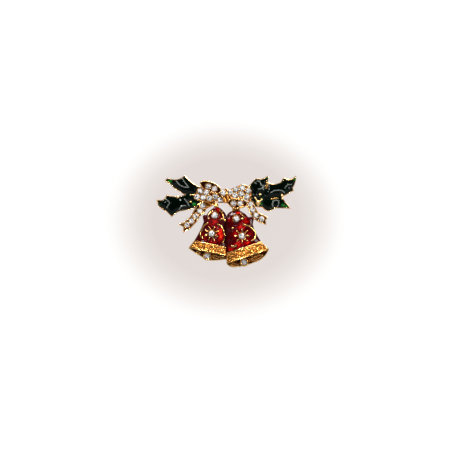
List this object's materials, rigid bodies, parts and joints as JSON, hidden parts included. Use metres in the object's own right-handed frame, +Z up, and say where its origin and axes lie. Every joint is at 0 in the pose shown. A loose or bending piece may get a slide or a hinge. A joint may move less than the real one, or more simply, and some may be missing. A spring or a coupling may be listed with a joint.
{
  "type": "bell brooch",
  "caption": "Costume brooch of two enamelled bells in relief under a crystal-set bow, with holly sprays, a hinged pin stem and a safety catch.",
  "frame": {"origin": "middle of the pin stem's straight shank, behind the castings", "axes": "+X along the pin stem to its point, the viewer's right seen from the front; the front faces -Y; +Z up as worn"},
  "size_m": [0.0517, 0.011, 0.0342],
  "materials": {
    "gold_plate": "bright gold plate on a cast base",
    "gold_fittings": "gold plated, drawn and pressed",
    "gold_washed_steel": "polished wire, thin gold wash",
    "green_enamel": "dark translucent enamel, glossy",
    "red_enamel": "translucent red enamel, glossy",
    "crystal": "faceted, foil backed"
  },
  "bodies": {
    "brooch": {"bow_casting": "gold_plate", "left_spray_casting": "gold_plate", "right_spray_casting": "gold_plate", "left_bell_casting": "gold_plate", "right_bell_casting": "gold_plate", "left_clapper_cup": "gold_plate", "right_clapper_cup": "gold_plate", "berry_cluster": "gold_plate", "pin_joint": "gold_fittings", "catch": "gold_fittings", "joint_rivet": "gold_washed_steel", "left_upper_leaf_enamel": "green_enamel", "left_lower_leaf_enamel": "green_enamel", "right_short_leaf_enamel": "green_enamel", "right_long_leaf_enamel": "green_enamel", "right_low_leaf_enamel": "green_enamel", "left_bell_enamel": "red_enamel", "right_bell_enamel": "red_enamel", "left_loop_stones": "crystal", "knot_stone": "crystal", "right_loop_stones": "crystal", "left_tail_stones": "crystal", "right_tail_stones": "crystal", "left_bell_stones": "crystal", "right_bell_stones": "crystal", "left_clapper_stone": "crystal", "right_clapper_stone": "crystal"},
    "pin_stem": {"pin_stem": "gold_washed_steel"},
    "safety_roller": {"safety_roller": "gold_fittings"}
  },
  "joints": [
    {"name": "stem_hinge", "type": "hinge", "parent": "brooch", "child": "pin_stem", "pos_m": [-0.01295, 0, 0], "axis": [0, 0, 1], "range_deg": [0, 80]},
    {"name": "roller_turn", "type": "hinge", "parent": "brooch", "child": "safety_roller", "pos_m": [0.01331, 0, 0], "axis": [1, 0, 0], "range_deg": [0, 100]}
  ]
}
